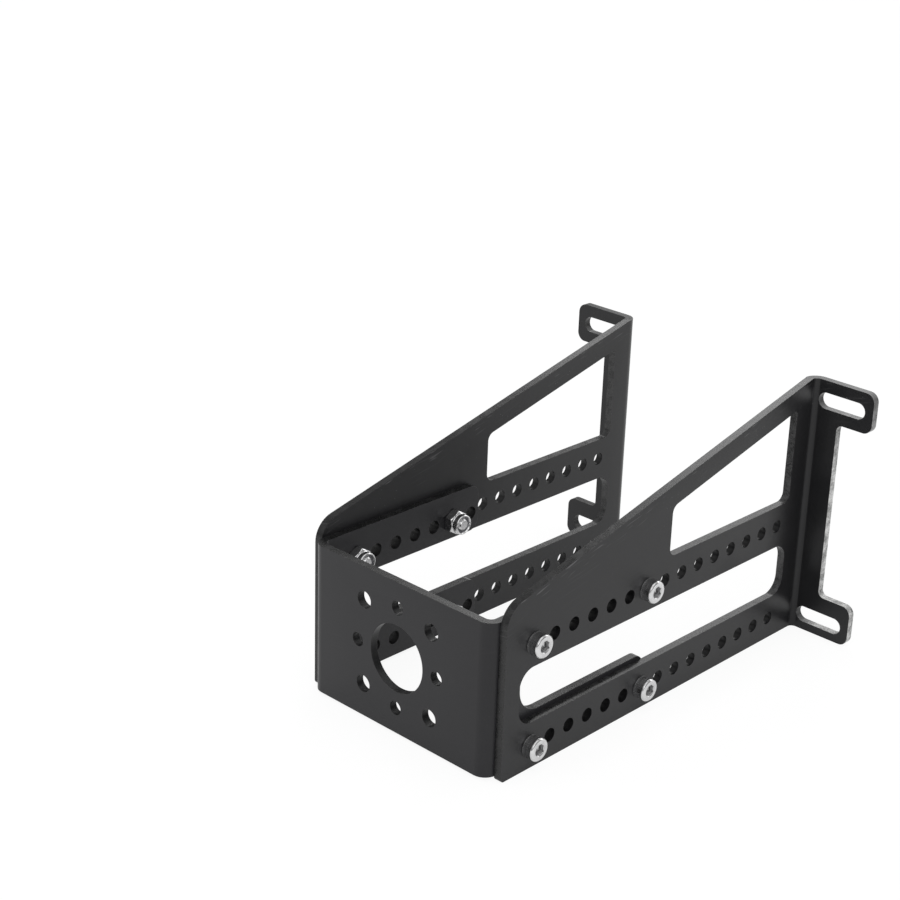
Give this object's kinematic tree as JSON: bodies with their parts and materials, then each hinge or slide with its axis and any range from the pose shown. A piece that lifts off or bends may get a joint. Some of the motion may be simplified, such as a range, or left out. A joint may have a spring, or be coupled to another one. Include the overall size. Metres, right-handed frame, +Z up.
{
  "type": "motor mount",
  "caption": "Adjustable stand-off motor mount: a folded motor bracket bolts through hole rows between slotted side plates whose rear flanges fix to a firewall.",
  "frame": {"origin": "middle of the footprint, on the plane that the side plates stand on", "axes": "+X to the right seen from the motor, +Y from the motor face to the rear fixing plane, +Z up"},
  "size_m": [0.0944, 0.114, 0.068],
  "materials": {
    "sheet_bracket": "black anodised, fine satin",
    "sheet_plates": "black anodised, fine satin",
    "screws": "bright zinc-plated steel",
    "nuts": "bright zinc-plated steel",
    "nylon": "grey nylon"
  },
  "bodies": {
    "root": {"motor_bracket": "sheet_bracket", "side_plate_right": "sheet_plates", "side_plate_left": "sheet_plates", "cap_screw_right_lower_front": "screws", "lock_nut_right_lower_front": "nuts", "nut_insert_right_lower_front": "nylon", "cap_screw_right_upper_front": "screws", "lock_nut_right_upper_front": "nuts", "nut_insert_right_upper_front": "nylon", "cap_screw_right_lower_rear": "screws", "lock_nut_right_lower_rear": "nuts", "nut_insert_right_lower_rear": "nylon", "cap_screw_right_upper_rear": "screws", "lock_nut_right_upper_rear": "nuts", "nut_insert_right_upper_rear": "nylon", "cap_screw_left_lower_front": "screws", "lock_nut_left_lower_front": "nuts", "nut_insert_left_lower_front": "nylon", "cap_screw_left_upper_front": "screws", "lock_nut_left_upper_front": "nuts", "nut_insert_left_upper_front": "nylon", "cap_screw_left_lower_rear": "screws", "lock_nut_left_lower_rear": "nuts", "nut_insert_left_lower_rear": "nylon", "cap_screw_left_upper_rear": "screws", "lock_nut_left_upper_rear": "nuts", "nut_insert_left_upper_rear": "nylon"}
  },
  "joints": []
}
